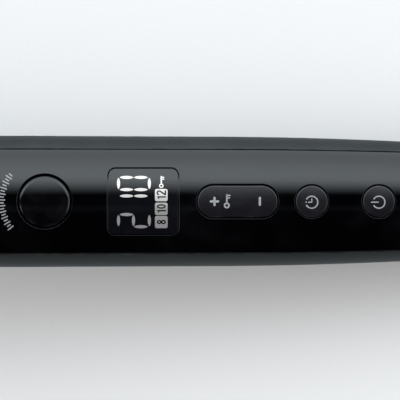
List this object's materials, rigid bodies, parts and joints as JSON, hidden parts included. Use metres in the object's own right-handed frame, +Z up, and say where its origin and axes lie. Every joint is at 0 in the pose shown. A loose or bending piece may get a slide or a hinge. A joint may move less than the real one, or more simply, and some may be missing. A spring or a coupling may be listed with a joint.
{
  "type": "curling iron",
  "caption": "Round-handled hair curling iron with a sprung clamp over its barrel, a glossy control cover with a display and buttons, a fold-out stand and a swivelling cord outlet.",
  "frame": {"origin": "middle of the whole part's underside, on the surface it stands on", "axes": "+X from the barrel's tip towards the cord outlet, +Y to the side, +Z up; the handle's own axis leans 4.3 degrees because the iron stands on its feet and on the rear of its grip"},
  "size_m": [0.374, 0.036, 0.0588],
  "materials": {
    "satin_shell": "satin dark grey moulded plastic",
    "gloss_cover": "high-gloss black lacquered plastic",
    "gloss_button": "high-gloss black plastic",
    "tinted_button": "semi-gloss black plastic with a faint violet tint",
    "display_window": "smoked gloss acrylic",
    "display_light": "lit white display segments",
    "printed_marks": "pale printed marks",
    "barrel_coating": "dark ceramic coating on aluminium",
    "clamp_metal": "dark ceramic coating on sprung steel",
    "bright_metal": "satin nickel",
    "screw_steel": "plain steel",
    "aluminium": "plain extruded aluminium",
    "brass": "bright brass",
    "dark_rubber": "soft black rubber",
    "swivel_plastic": "fine matt black plastic",
    "heat_plastic": "dark heat-proof moulding",
    "circuit_board": "green lacquered board",
    "inner_plastic": "plain black moulding",
    "pale_plastic": "plain pale moulding",
    "white_ceramic": "plain fired ceramic",
    "red_lead": "silicone sleeve",
    "white_lead": "silicone sleeve"
  },
  "bodies": {
    "handle": {"lower_housing": "satin_shell", "control_cover": "gloss_cover", "front_collar": "satin_shell", "collar_trim_ring": "bright_metal", "rear_end_cap": "satin_shell", "housing_screw_front": "screw_steel", "housing_screw_rear": "screw_steel", "display_lens": "display_window", "display_module": "display_light", "main_circuit_board": "circuit_board", "board_screw_front": "screw_steel", "board_screw_rear": "screw_steel", "start_switch": "inner_plastic", "plus_switch": "inner_plastic", "minus_switch": "inner_plastic", "timer_switch": "inner_plastic", "power_switch": "inner_plastic", "controller_chip": "inner_plastic", "buzzer": "inner_plastic", "filter_capacitor": "pale_plastic", "triac": "inner_plastic", "heat_sink": "aluminium", "board_fuse": "white_ceramic", "rocker_cradle": "inner_plastic", "rocker_pin": "screw_steel", "supply_lead_live": "red_lead", "supply_lead_neutral": "white_lead", "brush_holder": "pale_plastic", "brush_live": "brass", "brush_neutral": "brass", "barrel_tube": "barrel_coating", "tip_bush": "heat_plastic", "tip_cap": "satin_shell", "barrel_holder": "heat_plastic", "heater_carrier_upper": "aluminium", "heater_carrier_lower": "aluminium", "ceramic_heater": "white_ceramic", "temperature_sensor": "white_ceramic", "thermal_fuse": "white_ceramic", "heater_lead_live": "red_lead", "heater_lead_neutral": "white_lead", "sensor_lead": "white_lead", "pivot_bracket": "bright_metal", "pivot_pin": "bright_metal", "clamp_spring": "screw_steel", "stand_pin": "bright_metal"},
    "clamp": {"clamp_spoon": "clamp_metal", "thumb_lever": "satin_shell", "lever_rivet_front": "screw_steel", "lever_rivet_rear": "screw_steel"},
    "stand": {"kickstand": "bright_metal", "stand_foot_left": "dark_rubber", "stand_foot_right": "dark_rubber"},
    "cord_outlet": {"cord_swivel": "swivel_plastic", "contact_ring_inner": "brass", "contact_ring_outer": "brass"},
    "start_key": {"start_button": "gloss_button"},
    "temperature_key": {"temperature_rocker": "tinted_button"},
    "timer_key": {"timer_button": "tinted_button"},
    "power_key": {"power_button": "tinted_button"}
  },
  "joints": [
    {"name": "clamp_hinge", "type": "hinge", "parent": "handle", "child": "clamp", "pos_m": [-0.01139, 0, 0.04748], "axis": [0, 1, 0], "range_deg": [0, 17], "stiffness_Nm_per_rad": 0.25, "springref_deg": -28.65, "deforming": ["clamp_spring"]},
    {"name": "stand_hinge", "type": "hinge", "parent": "handle", "child": "stand", "pos_m": [-0.01622, 0, 0.0103], "axis": [0, 1, 0], "range_deg": [-145, 0]},
    {"name": "cord_swivel_turn", "type": "hinge", "parent": "handle", "child": "cord_outlet", "pos_m": [0.17459, 0, 0.01372], "axis": [0.9971, 0, -0.0757], "continuous": true},
    {"name": "start_press", "type": "slide", "parent": "handle", "child": "start_key", "axis": [-0.0757, 0, -0.9971], "range_m": [0, 0.0008], "stiffness_N_per_m": 800, "springref_m": -0.001},
    {"name": "temperature_rock", "type": "hinge", "parent": "handle", "child": "temperature_key", "pos_m": [0.09061, 0, 0.03033], "axis": [0, 1, 0], "range_deg": [-2, 2], "stiffness_Nm_per_rad": 0.4},
    {"name": "timer_press", "type": "slide", "parent": "handle", "child": "timer_key", "axis": [-0.0757, 0, -0.9971], "range_m": [0, 0.0006], "stiffness_N_per_m": 800, "springref_m": -0.001},
    {"name": "power_press", "type": "slide", "parent": "handle", "child": "power_key", "axis": [-0.0757, 0, -0.9971], "range_m": [0, 0.0006], "stiffness_N_per_m": 800, "springref_m": -0.001}
  ]
}
